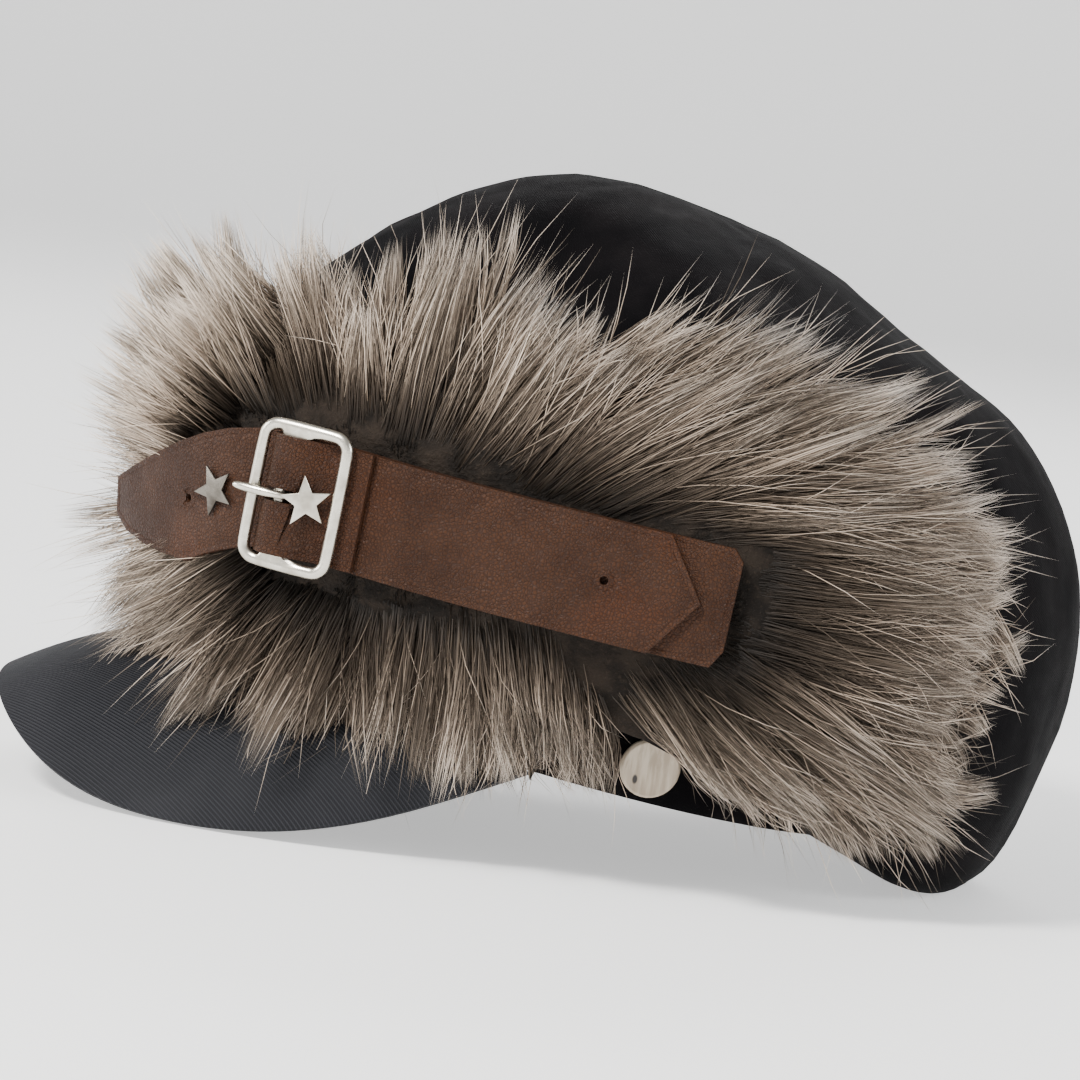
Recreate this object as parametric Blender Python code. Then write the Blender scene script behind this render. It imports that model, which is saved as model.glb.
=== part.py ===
"""Fur-trimmed casquette cap: a floppy cloth crown over a stiff head band, a curved peak, a fur strip
round the front and sides, and a two-layer leather belt with a buckle and star studs on the left side.

The cap faces -X and its left side faces -Y. Lengths below are millimetres, measured from the front of
the head band (x), the cap's middle plane (y) and the floor (z). SCALE and ORIGIN turn them into metres
about the middle of the cap's footprint.
"""
import math
from collections import namedtuple
import random

import bmesh
import bpy
import numpy as np
from mathutils import Vector

SCALE = 0.001
ORIGIN = (86.95, 10.1, 0.0)
GAP = 0.35                      # clearance between pieces that touch

# Head band and crown wall
BAND_LENGTH = 196.0
BAND_HALF_WIDTH = 83.0
BAND_FRONT_Z = 44.0
BAND_BACK_Z = 13.0
BAND_HEIGHT = 30.0
BAND_WALL = 2.5
BAND_SIDES = 40
CLOTH = 2.0
CROWN_SIDES = 48
CROWN_ROWS = (0, 1, 2, 2.7, 3.4, 4, 4.6, 5.3, 6, 7, 8, 9, 10, 11, 12, 13, 14, 15)
CROWN_TOP = (112.0, 0.0, 197.5)
PANELS = 8
SEAM_DEPTH = 1.0

# Each ring of the crown passes through a front, a side and a back point
Ring = namedtuple("Ring", "front_x front_z side_z back_x back_z half_width")
CROWN_RINGS = (
    Ring(0, BAND_FRONT_Z, (BAND_FRONT_Z + BAND_BACK_Z) / 2, BAND_LENGTH, BAND_BACK_Z, BAND_HALF_WIDTH),
    Ring(-1, 56, 40, 198, 30, 84),
    Ring(-3, 67, 49, 200, 40, 86),
    Ring(-8, 77, 53, 203, 26, 91),
    Ring(-13, 86, 55, 207, 6, 97),
    Ring(-17, 96, 62, 218, -7, 103),
    Ring(-19, 108, 74, 235, 3, 108),
    Ring(-19, 121, 90, 246, 34, 111),
    Ring(-16, 134, 107, 252, 68, 111.5),
    Ring(-10, 146, 125, 249, 97, 109),
    Ring(-1, 157, 141, 241, 119, 103),
    Ring(11, 168, 155, 226, 138, 93),
    Ring(28, 180, 168, 208, 153, 79),
    Ring(46, 191, 180, 188, 166, 62),
    Ring(64, 198, 190, 166, 179, 42),
    Ring(83, 201, 196, 143, 188, 22),
)

# Dents and folds of the crown: where they lie, how far they reach, how deep (below 0) or high they are
Fold = namedtuple("Fold", "angle row angle_reach row_reach height")
CROWN_FOLDS = (
    Fold(66, 12.0, 13, 1.1, -11.0),
    Fold(44, 12.6, 12, 1.2, 3.0),
    Fold(92, 12.6, 12, 1.0, 3.5),
    Fold(112, 13.2, 13, 0.9, -4.0),
    Fold(-70, 12.2, 16, 1.3, -7.0),
    Fold(-110, 11.4, 15, 1.6, 3.0),
    Fold(180, 12.9, 30, 0.7, -4.0),
    Fold(160, 9.5, 9, 2.6, -3.0),
    Fold(-152, 9.0, 10, 3.0, -4.0),
    Fold(-128, 12.0, 10, 1.6, -3.5),
    Fold(172, 6.4, 8, 1.8, -5.0),
    Fold(-166, 6.0, 7, 1.6, -4.0),
)
GATHERS = 26                    # small pleats where the back bag is drawn in to the band
GATHER_HEIGHT = 1.6
GATHER_ROW = 4.0
GATHER_START = 118.0

# Peak
PEAK_REACH = 75.0
PEAK_END_X = 93.0
PEAK_HALF_WIDTH = 87.5
PEAK_ROOT_ANGLE = 86.0
PEAK_TIP_Z = 26.0
PEAK_END_Z = 29.6
PEAK_FRONT_RISE = 3.0
PEAK_END_RISE = 1.8
PEAK_BLUNT = 0.72
PEAK_THICKNESS = 3.0
PEAK_BULGE = 6.0
PEAK_ROOT_GAP = 0.8
PEAK_COLUMNS = 28
PEAK_ROWS = 5

# Belt: its course along the outside of the fur, from the buckle's middle (0) forwards and backwards
Course = namedtuple("Course", "distance heading climb")
BELT_COURSE = (
    Course(-140, 2, 5.5),
    Course(-60, 10, 6),
    Course(-16, 18, 7),
    Course(8, 18, 4),
    Course(22, 30, -14),
    Course(44, 46, -24),
    Course(86, 58, -26),
)
BELT_STEP = 2.0
BELT_STEPS = 22                 # faces along the lower belt
STRAP_STEPS = 13                # faces along the straight part of the upper strap
BIGHT_STEPS = 8                 # faces round the strap's bight on the middle bar
BUCKLE_X = 20.0
BUCKLE_Y = -101.0
BUCKLE_Z = 103.0
BELT_WIDTH = 34.5
BELT_THICKNESS = 2.0
STRAP_THICKNESS = 1.8
LOWER_BACK = -129.0
LOWER_TIP = 82.0
LOWER_TIP_SLANT = 34.0          # how much shorter the belt's tip is at its top edge
LOWER_TIP_PEAK = -0.4           # where across the belt its tip is longest
LOWER_CORNER = 3.0              # how far the belt's other corners are rounded off
UPPER_BACK = -120.0
UPPER_POINT = 12.0
STRAP_LEVEL = 2.25
BELT_HOLE_FROM_POINT = 28.0
BELT_HOLE_RADIUS = 1.3
TIP_HOLE_AT = 42.0

# Buckle: distances along the belt are from the buckle's middle, levels are out from the lower belt
FRAME_LEVEL = 7.6
FRAME_WIRE = 4.0
FRAME_LENGTH = 26.4
FRAME_HEIGHT = 40.0
FRAME_CORNER = 4.5
WIRE_SIDES = 8
BAR_AT = 5.0
BAR_RADIUS = 1.5
LOOP_RADIUS = 4.0
FLAP_LEVEL = 4.35
FLAP_END = -20.0
FLAP_FALL = 15.5                # length over which the strap's flap comes down behind the bar
FRAME_FLATNESS = 0.85           # the frame's wire is a little flatter than round
PRONG_RADIUS = 1.5
PRONG_TIP = 18.4
HOOK_WIRE = 1.15
SLOT_SPARE = 0.1                # room beside the prong in its slot, over GAP
SLOT_ENDS = (BAR_AT - 5.0, BAR_AT + 7.0)
SLOT_LEVELS = (STRAP_LEVEL + LOOP_RADIUS - 3.0, 16.0)
STAR_RADIUS = 7.8
STAR_INNER = 3.3
STAR_THICKNESS = 1.6
STAR_BUCKLE_AT = -3.3
STAR_TIP_AT = 30.0
STAR_TURN = -24.0               # degrees from the belt's width to the star's first point

# Side button
BUTTON_X = 126.5
BUTTON_Z = 36.0
BUTTON_RADIUS = 9.2
BUTTON_THICKNESS = 3.0
BUTTON_SHANK = 0.9

# Fur strip: the rows of the crown that its backing covers and its locks' length, by angle from the front
Edge = namedtuple("Edge", "angle low high length")
FUR_EDGES = (
    Edge(0, 1.3, 8.4, 36),
    Edge(45, 1.3, 9.0, 52),
    Edge(65, 1.8, 9.6, 56),
    Edge(85, 3.6, 10.2, 56),
    Edge(100, 5.0, 10.2, 52),
    Edge(120, 5.6, 9.6, 38),
    Edge(135, 6.4, 8.6, 28),
)
FUR_END_ANGLE = 135.0
FUR_COLUMNS = 36
FUR_BANDS = 5
FUR_GAP = 1.5
FUR_UNDER_GAP = 2.6              # added where the crown turns under, towards the band
FUR_SEAT_END = 34.0
FUR_SKIN = 3.5
FUR_CENTRE_X = 70.0
FUR_CENTRE_Z = 93.0
FUR_SPAN_X = 85.0               # from the middle of the fur to where its hair lies flattest
FUR_SPAN_Z = 45.0
FUR_LEAST_LEAN = 0.6
LOCK_LIFT = 0.75
LOCK_STEPS = ((0.34, 0.62), (0.7, 0.36), (1.0, 0.0))
LOCK_CLEAR = 3.8
SHORTEST_LOCK = 14.0
LOWEST_LOCK = 19.0
BELT_SPREAD = 16.0
BELT_PRESS = 3.0                # how far beside the belt the fur is still pressed flat
TIP_REACH = 12.0                # where the fur stays below the belt's free tip
TIP_CLEAR = 4.0
COVER_DEPTH = 2.0               # a face of the fur is covered when the belt lies over it
COVER_REACH = 5.0
LOCK_INSET = 0.08               # least share by which a lock's base is drawn in
LOCK_INSET_STEP = 0.1


def smooth(value):
    value = min(max(value, 0.0), 1.0)
    return value * value * (3.0 - 2.0 * value)


def unit(vector):
    return vector / np.linalg.norm(vector)


def ring_at(row):
    """The crown's ring at a row that may lie between two of the table's, on a smooth curve."""
    last = len(CROWN_RINGS) - 1
    index = min(int(row), last - 1)
    t = row - index
    before, start, end, after = (
        np.array(CROWN_RINGS[min(max(index + step, 0), last)], float) for step in (-1, 0, 1, 2)
    )
    curve = (
        2 * start
        + (end - before) * t
        + (2 * before - 5 * start + 4 * end - after) * t ** 2
        + (3 * start - before - 3 * end + after) * t ** 3
    )
    return Ring(*(curve / 2))


def crown_base(angle, row):
    """A point of the crown without its folds; the angle runs from the front to the cap's left."""
    ring = ring_at(row)
    along = -math.cos(math.radians(angle))
    middle = (ring.front_x + ring.back_x) / 2
    half = (ring.back_x - ring.front_x) / 2
    rise = (ring.back_z - ring.front_z) / 2
    arch = (ring.front_z + ring.back_z) / 2 - ring.side_z
    return np.array((
        middle + half * along,
        -ring.half_width * math.sin(math.radians(angle)),
        ring.side_z + rise * along + arch * along * along,
    ))


def crown_normal(angle, row):
    low, high = max(row - 0.05, 0.0), min(row + 0.05, len(CROWN_RINGS) - 1.0)
    across = crown_base(angle + 0.5, row) - crown_base(angle - 0.5, row)
    up = crown_base(angle, high) - crown_base(angle, low)
    return unit(np.cross(across, up))


def angle_between(first, second):
    return abs((first - second + 180.0) % 360.0 - 180.0)


def crown_relief(angle, row):
    """How far the folds, gathers and panel seams move the cloth out (above 0) or in."""
    height = 0.0
    for fold in CROWN_FOLDS:
        beside = angle_between(angle, fold.angle) / fold.angle_reach
        above = (row - fold.row) / fold.row_reach
        height += fold.height * math.exp(-beside ** 2 - above ** 2)
    behind = smooth((angle_between(angle, 0.0) - GATHER_START) / 25.0)
    gather = math.exp(-((row - GATHER_ROW) / 1.6) ** 2)
    height += GATHER_HEIGHT * behind * gather * math.cos(math.radians(angle) * GATHERS)
    panel = 360.0 / PANELS
    from_seam = angle_between(angle % panel, 0.0)
    from_seam = min(from_seam, panel - from_seam)
    height -= SEAM_DEPTH * max(0.0, 1.0 - from_seam / 6.0) * smooth((row - 5.0) / 3.0)
    return height * smooth(row / 2.0)


def crown_point(angle, row, out=0.0):
    point = crown_base(angle, row) + crown_normal(angle, row) * (crown_relief(angle, row) + out)
    point[2] = max(point[2], 0.0)
    return point


def band_plane(x):
    """Height of the band's lower rim, one plane that is higher at the front."""
    return BAND_FRONT_Z + (BAND_BACK_Z - BAND_FRONT_Z) * x / BAND_LENGTH


def belt_course():
    """Stations along the belt: distance, place, and the forward, width and outward directions."""
    rows = np.array(BELT_COURSE, float)

    def directions(distance):
        heading = math.radians(np.interp(distance, rows[:, 0], rows[:, 1]))
        climb = math.radians(np.interp(distance, rows[:, 0], rows[:, 2]))
        level = np.array((-math.cos(heading), math.sin(heading), 0.0))
        forward = level * math.cos(climb) + np.array((0.0, 0.0, math.sin(climb)))
        out = np.array((-math.sin(heading), -math.cos(heading), 0.0))
        return forward, unit(np.cross(out, forward)), out

    stations = {0.0: np.array((BUCKLE_X, BUCKLE_Y, BUCKLE_Z))}
    for way, end in ((1, rows[-1, 0]), (-1, rows[0, 0])):
        distance = 0.0
        while abs(distance) < abs(end):
            step = way * BELT_STEP
            forward = directions(distance + step / 2)[0]
            stations[distance + step] = stations[distance] + forward * step
            distance += step
    return [(distance, stations[distance], *directions(distance)) for distance in sorted(stations)]


BELT_STATIONS = belt_course()


def belt_point(distance, across, level):
    """A point on the belt's course: across is towards the top edge, level is outwards."""
    distances = [station[0] for station in BELT_STATIONS]
    index = min(max(int((distance - distances[0]) / BELT_STEP), 0), len(distances) - 2)
    t = (distance - distances[index]) / BELT_STEP
    start, end = BELT_STATIONS[index], BELT_STATIONS[index + 1]
    place, forward, width, out = (start[k] * (1 - t) + end[k] * t for k in (1, 2, 3, 4))
    return place + unit(width) * across + unit(out) * level


def buckle_point(distance, across, level):
    """A point in the buckle's own straight frame."""
    place, forward, width, out = next(station[1:] for station in BELT_STATIONS if station[0] == 0.0)
    return place + forward * distance + width * across + out * level


def to_metres(point):
    return Vector([(float(value) - start) * SCALE for value, start in zip(point, ORIGIN)])


def material(name, colour, roughness, metallic=0.0):
    made = bpy.data.materials.new(name)
    made.use_nodes = True
    shader = made.node_tree.nodes["Principled BSDF"]
    shader.inputs["Base Color"].default_value = (*colour, 1.0)
    shader.inputs["Roughness"].default_value = roughness
    shader.inputs["Metallic"].default_value = metallic
    return made


def point_faces_out(bm):
    bmesh.ops.recalc_face_normals(bm, faces=bm.faces)
    if bm.calc_volume(signed=True) < 0:
        bmesh.ops.reverse_faces(bm, faces=bm.faces)


def finish_object(name, bm, surface, sharp_angle=40.0, pointed=False):
    """Turns a bmesh into a named object, and points its faces out unless they are already."""
    if not pointed:
        point_faces_out(bm)
    mesh = bpy.data.meshes.new(name)
    bm.to_mesh(mesh)
    bm.free()
    mesh.materials.append(surface)
    mesh.shade_smooth()
    mesh.set_sharp_from_angle(angle=math.radians(sharp_angle))
    made = bpy.data.objects.new(name, mesh)
    bpy.context.scene.collection.objects.link(made)
    return made


def grid_faces(bm, rows, closed=False):
    """Quads between rows of vertices; returns them row by row."""
    faces = []
    for lower, upper in zip(rows, rows[1:]):
        count = len(lower) if closed else len(lower) - 1
        strip = []
        for k in range(count):
            n = (k + 1) % len(lower)
            strip.append(bm.faces.new((lower[k], lower[n], upper[n], upper[k])))
        faces.append(strip)
    return faces


def add_grid(bm, points, closed=False):
    rows = [[bm.verts.new(to_metres(point)) for point in row] for row in points]
    return rows, grid_faces(bm, rows, closed)


def thicken(made, thickness, offset):
    wall = made.modifiers.new("wall", "SOLIDIFY")
    wall.thickness = thickness * SCALE
    wall.offset = offset
    return wall


def cut(made, cutter):
    cutter.hide_render = True
    cutter.display_type = "WIRE"
    slot = made.modifiers.new("cut", "BOOLEAN")
    slot.operation = "DIFFERENCE"
    slot.object = cutter


def tube_rings(bm, path, radii, sides, side_axis):
    """Rings of vertices square to a path, whose bend plane has side_axis as its normal."""
    rings = []
    for index, (point, radius) in enumerate(zip(path, radii)):
        before = path[max(index - 1, 0)]
        after = path[min(index + 1, len(path) - 1)]
        forward = unit(after - before)
        other = unit(np.cross(forward, side_axis))
        ring = []
        for k in range(sides):
            turn = 2 * math.pi * k / sides
            ring.append(point + radius * (math.cos(turn) * side_axis + math.sin(turn) * other))
        rings.append([bm.verts.new(to_metres(corner)) for corner in ring])
    return rings


def build_crown(surface):
    bm = bmesh.new()
    angles = [360.0 * k / CROWN_SIDES for k in range(CROWN_SIDES)]
    points = [[crown_point(angle, row) for angle in angles] for row in CROWN_ROWS]
    rows, _ = add_grid(bm, points, closed=True)
    top = bm.verts.new(to_metres(CROWN_TOP))
    for k in range(CROWN_SIDES):
        bm.faces.new((rows[-1][k], rows[-1][(k + 1) % CROWN_SIDES], top))
    crown = finish_object("crown", bm, surface, 50.0)
    thicken(crown, CLOTH, -1.0)
    return crown


def build_head_band(surface):
    bm = bmesh.new()
    inset = CLOTH + GAP
    points = []
    corners = ((0.0, 0.4), (0.0, BAND_HEIGHT), (BAND_WALL, BAND_HEIGHT), (BAND_WALL, 0.4))
    for inwards, height in corners + corners[:1]:
        loop = []
        for k in range(BAND_SIDES):
            turn = 2 * math.pi * k / BAND_SIDES
            x = BAND_LENGTH / 2 - (BAND_LENGTH / 2 - inset - inwards) * math.cos(turn)
            y = (BAND_HALF_WIDTH - inset - inwards) * math.sin(turn)
            loop.append((x, y, band_plane(x) + height))
        points.append(loop)
    add_grid(bm, points, closed=True)
    bmesh.ops.remove_doubles(bm, verts=bm.verts, dist=0.00001)
    return finish_object("head_band", bm, surface)


def peak_edge_height(x):
    if x < 0:
        return PEAK_TIP_Z * (-x / PEAK_REACH) ** PEAK_FRONT_RISE
    return PEAK_END_Z * (x / PEAK_END_X) ** PEAK_END_RISE


def peak_point(across, outwards):
    """Underside of the peak: across runs from -1 to 1, outwards from the root (0) to the edge (1)."""
    root_turn = math.radians(across * PEAK_ROOT_ANGLE)
    middle = BAND_LENGTH / 2
    x = middle - (middle + PEAK_ROOT_GAP) * math.cos(root_turn)
    y = -(BAND_HALF_WIDTH + PEAK_ROOT_GAP) * math.sin(root_turn)
    root = np.array((x, y, band_plane(x) + 1.0))
    edge_turn = abs(across) * math.pi / 2
    x = PEAK_END_X - (PEAK_END_X + PEAK_REACH) * max(math.cos(edge_turn), 0.0) ** PEAK_BLUNT
    y = -math.copysign(PEAK_HALF_WIDTH * math.sin(edge_turn) ** PEAK_BLUNT, across)
    edge = np.array((x, y, peak_edge_height(x)))
    bulge = 4 * outwards * (1 - outwards) * PEAK_BULGE * (1 - abs(across) ** 3)
    away = unit(np.array((0.35 * math.cos(root_turn), -0.5 * math.sin(root_turn), 1.0)) * (-1, 1, 1))
    return root + (edge - root) * outwards + away * bulge


def build_peak(surface):
    bm = bmesh.new()
    points = []
    for row in range(PEAK_ROWS + 1):
        outwards = row / PEAK_ROWS
        points.append([peak_point(2 * k / PEAK_COLUMNS - 1, outwards) for k in range(PEAK_COLUMNS + 1)])
    add_grid(bm, points)
    for face in bm.faces:
        face.normal_update()
    if sum(face.normal.z for face in bm.faces) < 0:
        bmesh.ops.reverse_faces(bm, faces=bm.faces)
    mesh = bpy.data.meshes.new("peak")
    bm.to_mesh(mesh)
    bm.free()
    mesh.materials.append(surface)
    mesh.shade_smooth()
    mesh.set_sharp_from_angle(angle=math.radians(50))
    peak = bpy.data.objects.new("peak", mesh)
    bpy.context.scene.collection.objects.link(peak)
    thicken(peak, PEAK_THICKNESS, 1.0)
    return peak


def lower_end(across, end):
    """Distance of the lower belt's end at a place across it, from -1 (lower edge) to 1 (top edge)."""
    if end == "back":
        return LOWER_BACK + LOWER_CORNER * max(0.0, abs(across) - 0.8) / 0.2
    if across > LOWER_TIP_PEAK:
        return LOWER_TIP - LOWER_TIP_SLANT * ((across - LOWER_TIP_PEAK) / (1 - LOWER_TIP_PEAK)) ** 1.5
    return LOWER_TIP - LOWER_CORNER * (LOWER_TIP_PEAK - across) / (1 + LOWER_TIP_PEAK)


def build_belt_lower(surface):
    bm = bmesh.new()
    columns = (-1.0, -0.8, LOWER_TIP_PEAK, 0.0, 0.4, 0.7, 1.0)
    points = []
    for across in columns:
        start, end = lower_end(across, "back"), lower_end(across, "tip")
        line = []
        for k in range(BELT_STEPS + 1):
            distance = start + (end - start) * k / BELT_STEPS
            line.append(belt_point(distance, across * BELT_WIDTH / 2, 0.0))
        points.append(line)
    add_grid(bm, points)
    belt = finish_object("belt_lower", bm, surface)
    thicken(belt, BELT_THICKNESS, 0.0)
    cut(belt, hole_cutter("belt_lower_hole", TIP_HOLE_AT))
    return belt


def hole_cutter(name, distance):
    """A round cutter that stands square to the belt."""
    centre = belt_point(distance, 0.0, 0.0)
    out = unit(belt_point(distance, 0.0, 1.0) - centre)
    bm = bmesh.new()
    bmesh.ops.create_cone(
        bm, cap_ends=True, segments=12, radius1=BELT_HOLE_RADIUS * SCALE,
        radius2=BELT_HOLE_RADIUS * SCALE, depth=16 * SCALE,
    )
    turn = Vector(out).to_track_quat("Z", "Y").to_matrix().to_4x4()
    turn.translation = to_metres(centre)
    bmesh.ops.transform(bm, matrix=turn, verts=bm.verts)
    mesh = bpy.data.meshes.new(name)
    bm.to_mesh(mesh)
    bm.free()
    cutter = bpy.data.objects.new(name, mesh)
    bpy.context.scene.collection.objects.link(cutter)
    return cutter


def strap_line(across):
    """The upper strap's line: from its point, under the frame, round the bar and back over it."""
    start = UPPER_BACK + UPPER_POINT * abs(across)
    line = [(start + (BAR_AT - start) * k / STRAP_STEPS, STRAP_LEVEL) for k in range(STRAP_STEPS + 1)]
    middle = STRAP_LEVEL + LOOP_RADIUS
    for k in range(1, BIGHT_STEPS):
        turn = math.pi * k / BIGHT_STEPS
        line.append((BAR_AT + LOOP_RADIUS * math.sin(turn), middle - LOOP_RADIUS * math.cos(turn)))
    top = STRAP_LEVEL + 2 * LOOP_RADIUS
    for k in range(6):
        t = k / 5
        line.append((BAR_AT - t * FLAP_FALL, top + (FLAP_LEVEL - top) * smooth(t)))
    line.append((FLAP_END, FLAP_LEVEL))
    return line


def build_belt_upper(surface):
    bm = bmesh.new()
    columns = (-1.0, -0.5, 0.0, 0.5, 1.0)
    points = []
    for across in columns:
        line = []
        for distance, level in strap_line(across):
            place = belt_point if distance < -16 and level == STRAP_LEVEL else buckle_point
            line.append(place(distance, across * BELT_WIDTH / 2, level))
        points.append(line)
    add_grid(bm, points)
    belt = finish_object("belt_upper", bm, surface)
    thicken(belt, STRAP_THICKNESS, 0.0)
    cut(belt, hole_cutter("belt_upper_hole", UPPER_BACK + BELT_HOLE_FROM_POINT))
    cut(belt, slot_cutter())
    return belt


def slot_cutter():
    """The slot in the strap's bight that the prong comes through."""
    half = PRONG_RADIUS + GAP + SLOT_SPARE
    bm = bmesh.new()
    corners = []
    for distance in SLOT_ENDS:
        for across in (-half, half):
            for level in SLOT_LEVELS:
                corners.append(bm.verts.new(to_metres(buckle_point(distance, across, level))))
    bmesh.ops.convex_hull(bm, input=corners)
    bmesh.ops.recalc_face_normals(bm, faces=bm.faces)
    mesh = bpy.data.meshes.new("prong_slot")
    bm.to_mesh(mesh)
    bm.free()
    cutter = bpy.data.objects.new("prong_slot", mesh)
    bpy.context.scene.collection.objects.link(cutter)
    return cutter


def build_buckle_frame(surface):
    out = unit(buckle_point(0.0, 0.0, 1.0) - buckle_point(0.0, 0.0, 0.0))
    path = []
    half_length, half_height = FRAME_LENGTH / 2, FRAME_HEIGHT / 2
    for corner in range(4):
        side_a = (1, -1, -1, 1)[corner]
        side_w = (1, 1, -1, -1)[corner]
        for k in range(5):
            turn = math.pi / 2 * (corner + k / 4)
            path.append(buckle_point(
                side_a * (half_length - FRAME_CORNER) + FRAME_CORNER * math.cos(turn),
                side_w * (half_height - FRAME_CORNER) + FRAME_CORNER * math.sin(turn),
                FRAME_LEVEL,
            ))
    bm = bmesh.new()
    rings = []
    count = len(path)
    for index, point in enumerate(path):
        forward = unit(path[(index + 1) % count] - path[index - 1])
        other = unit(np.cross(forward, out))
        ring = []
        for k in range(WIRE_SIDES):
            turn = 2 * math.pi * k / WIRE_SIDES
            around = math.cos(turn) * other + FRAME_FLATNESS * math.sin(turn) * out
            ring.append(point + FRAME_WIRE / 2 * around)
        rings.append([bm.verts.new(to_metres(corner)) for corner in ring])
    grid_faces(bm, rings + rings[:1], closed=True)
    frame = finish_object("buckle_frame", bm, surface)

    bm = bmesh.new()
    reach = half_height - 0.2
    ends = [buckle_point(BAR_AT, across, FRAME_LEVEL) for across in (-reach, reach)]
    rings = tube_rings(bm, ends, (BAR_RADIUS, BAR_RADIUS), WIRE_SIDES, out)
    grid_faces(bm, rings, closed=True)
    bm.faces.new(rings[0])
    bm.faces.new(rings[-1])
    bar = finish_object("buckle_bar", bm, surface)
    bar.hide_render = True
    bar.display_type = "WIRE"
    join = frame.modifiers.new("join", "BOOLEAN")
    join.operation = "UNION"
    join.object = bar
    return frame


def build_buckle_prong(surface):
    """The prong: one bent wire, hooked round the middle bar and resting on the frame's front bar."""
    start = buckle_point(0.0, 0.0, 0.0)
    width = unit(buckle_point(0.0, 1.0, 0.0) - start)
    hook_radius = BAR_RADIUS + GAP + HOOK_WIRE
    path, radii = [], []
    turns = 11
    for k in range(turns + 1):
        turn = math.radians(330.0 - 240.0 * k / turns)
        path.append(buckle_point(
            BAR_AT + hook_radius * math.cos(turn), 0.0, FRAME_LEVEL + hook_radius * math.sin(turn),
        ))
        radii.append(HOOK_WIRE)
    rest = FRAME_LEVEL + FRAME_FLATNESS * FRAME_WIRE / 2 + GAP + PRONG_RADIUS
    rod = (
        (BAR_AT + 3.0, rest - 0.15, PRONG_RADIUS),
        (FRAME_LENGTH / 2, rest + 0.05, PRONG_RADIUS),
        (PRONG_TIP - 1.2, rest - 0.1, 1.3),
        (PRONG_TIP, rest - 0.4, 0.7),
    )
    for distance, level, radius in rod:
        path.append(buckle_point(distance, 0.0, level))
        radii.append(radius)
    bm = bmesh.new()
    rings = tube_rings(bm, path, radii, WIRE_SIDES, width)
    grid_faces(bm, rings, closed=True)
    bm.faces.new(rings[0])
    bm.faces.new(rings[-1])
    return finish_object("buckle_prong", bm, surface)


def build_star(name, centre, out, up, surface):
    """A five-pointed stud: a faceted face over a flat back."""
    across = unit(np.cross(out, up))
    turn = math.radians(STAR_TURN)
    up, side = up * math.cos(turn) + across * math.sin(turn), across * math.cos(turn) - up * math.sin(turn)
    bm = bmesh.new()
    back, rim = [], []
    for k in range(10):
        turn = math.pi * k / 5
        radius = STAR_RADIUS if k % 2 == 0 else STAR_INNER
        offset = radius * (math.cos(turn) * up + math.sin(turn) * side)
        back.append(bm.verts.new(to_metres(centre + offset)))
        rim.append(bm.verts.new(to_metres(centre + offset + out * STAR_THICKNESS * 0.5)))
    middle = bm.verts.new(to_metres(centre + out * STAR_THICKNESS))
    bm.faces.new(back)
    for k in range(10):
        n = (k + 1) % 10
        bm.faces.new((back[k], back[n], rim[n], rim[k]))
        bm.faces.new((rim[k], rim[n], middle))
    return finish_object(name, bm, surface, 5.0)


def build_stars(surface):
    start = buckle_point(0.0, 0.0, 0.0)
    width = unit(buckle_point(0.0, 1.0, 0.0) - start)
    flap = [entry for entry in strap_line(0.0) if entry[1] > FLAP_LEVEL - 0.01]
    distances = np.array([entry[0] for entry in flap])[::-1]
    levels = np.array([entry[1] for entry in flap])[::-1]

    def surface_level(distance):
        return float(np.interp(distance, distances, levels)) + STRAP_THICKNESS / 2

    lean_from, lean_to = STAR_BUCKLE_AT - 4.0, STAR_BUCKLE_AT + 4.0
    low = buckle_point(lean_from, 0.0, surface_level(lean_from))
    high = buckle_point(lean_to, 0.0, surface_level(lean_to))
    out = unit(np.cross(unit(high - low), width))
    if out[1] > 0:
        out = -out
    lift = GAP + 1.6
    centre = buckle_point(STAR_BUCKLE_AT, 0.0, surface_level(STAR_BUCKLE_AT)) + out * lift
    buckle_star = build_star("star_stud_buckle", centre, out, width, surface)
    centre = belt_point(STAR_TIP_AT, 0.0, BELT_THICKNESS / 2 + GAP + 0.25)
    out = unit(belt_point(STAR_TIP_AT, 0.0, 1.0) - belt_point(STAR_TIP_AT, 0.0, 0.0))
    up = unit(belt_point(STAR_TIP_AT, 1.0, 0.0) - belt_point(STAR_TIP_AT, 0.0, 0.0))
    return buckle_star, build_star("star_stud_tip", centre, out, up, surface)


def button_place():
    """Angle and row of the crown where the button's middle lies, found by halving the error."""
    angle, row = 95.0, 0.7
    for _ in range(60):
        point = crown_base(angle, row)
        angle += (BUTTON_X - point[0]) * 0.4
        row += (BUTTON_Z - point[2]) * 0.04
    return angle, row


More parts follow.
